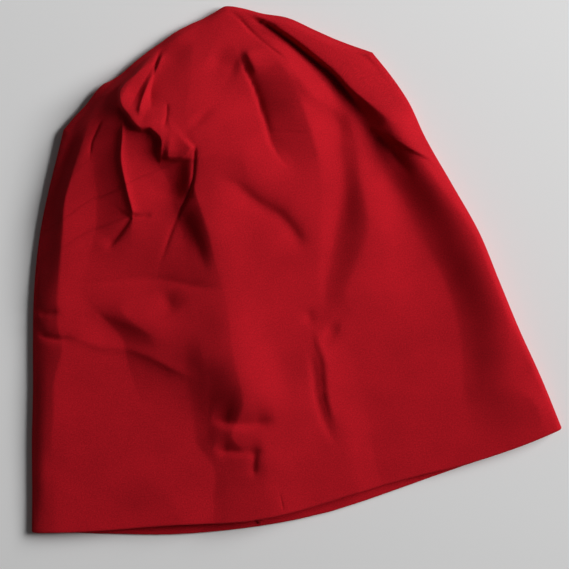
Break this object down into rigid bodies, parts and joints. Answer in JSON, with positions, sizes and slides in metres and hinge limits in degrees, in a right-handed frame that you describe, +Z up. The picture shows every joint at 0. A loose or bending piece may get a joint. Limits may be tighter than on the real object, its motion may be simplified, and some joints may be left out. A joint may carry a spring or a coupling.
{
  "type": "beanie",
  "caption": "Slouchy double-layer jersey beanie lying flat on its back, with a folded hem, an open mouth and a gathered crown.",
  "frame": {"origin": "on the surface that the hat lies on, under the middle of its bounding box", "axes": "+Y from the hem to the crown, +X to the right of the side that shows, +Z up from the surface"},
  "size_m": [0.25, 0.2396, 0.0209],
  "materials": {
    "jersey": "matt cotton jersey"
  },
  "bodies": {
    "root": {"jersey_shell": "jersey", "back_seam": "jersey"}
  },
  "joints": []
}
